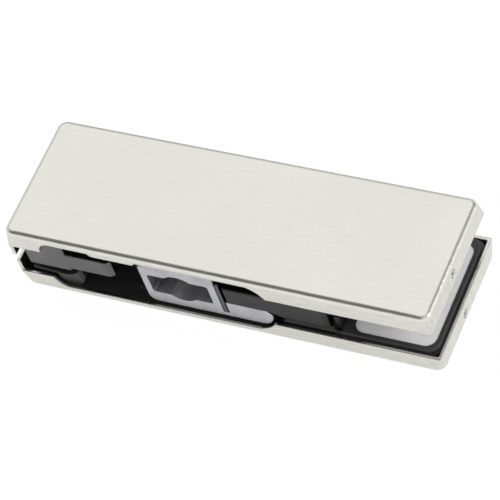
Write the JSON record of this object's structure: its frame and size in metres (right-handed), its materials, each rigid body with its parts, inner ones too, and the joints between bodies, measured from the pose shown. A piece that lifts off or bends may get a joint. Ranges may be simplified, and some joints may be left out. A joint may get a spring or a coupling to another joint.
{
  "type": "glass door hinge",
  "caption": "Bottom patch hinge that clamps the lower corner of a frameless glass door and turns on a floor spring's spindle.",
  "frame": {"origin": "centre of the lower cover's face, which the fitting lies on", "axes": "+X from the heel at the door post to the toe, -Y towards the floor and the pivot socket, +Y towards the glass, +Z from one cover to the other, through the glass thickness"},
  "size_m": [0.164, 0.052, 0.032],
  "materials": {
    "brushed_stainless": "satin brushed along the length",
    "stainless_screw": "bright",
    "zinc_steel": "zinc plated, satin",
    "black_casting": "black, fine cast texture",
    "dark_casting": "dark grey, fine cast texture",
    "black_bar": "blackened, fine texture",
    "silver_casting": "silver, sand-cast texture",
    "dark_spring_steel": "oiled",
    "black_steel": "blackened, satin",
    "gasket_rubber": "matt",
    "glass_pad": "matt, light grey"
  },
  "bodies": {
    "lower_cover": {"lower_cover": "brushed_stainless", "lower_cover_nuts": "zinc_steel", "lower_cover_screws": "stainless_screw"},
    "lower_half": {"lower_body": "black_casting", "lower_gasket": "gasket_rubber", "lower_glass_pads": "glass_pad", "heel_block": "dark_casting", "guide_bar": "black_bar", "heel_block_screw": "zinc_steel", "guide_bar_screws": "zinc_steel", "insert_lock_screw": "black_steel", "dowel_pins": "zinc_steel"},
    "upper_half": {"upper_body": "black_casting", "upper_gasket": "gasket_rubber", "upper_glass_pads": "glass_pad", "clamp_screw_heel": "zinc_steel", "clamp_screw_middle": "zinc_steel", "clamp_screw_toe": "zinc_steel", "clamp_washer_heel": "zinc_steel", "clamp_washer_middle": "zinc_steel", "clamp_washer_toe": "zinc_steel"},
    "insert": {"pivot_insert": "silver_casting", "retaining_plate": "dark_spring_steel"},
    "upper_cover": {"upper_cover": "brushed_stainless", "upper_cover_nuts": "zinc_steel", "upper_cover_screws": "stainless_screw"}
  },
  "joints": [
    {"name": "lower_cover_release", "type": "slide", "parent": "lower_cover", "child": "lower_half", "axis": [0, 0, 1], "range_m": [0, 0.016]},
    {"name": "clamp_opening", "type": "slide", "parent": "lower_half", "child": "upper_half", "axis": [0, 0, 1], "range_m": [-0.0012, 0.003]},
    {"name": "insert_adjustment", "type": "slide", "parent": "lower_half", "child": "insert", "axis": [1, 0, 0], "range_m": [-0.005, 0.0008]},
    {"name": "upper_cover_release", "type": "slide", "parent": "upper_half", "child": "upper_cover", "axis": [0, 0, 1], "range_m": [0, 0.016]}
  ]
}
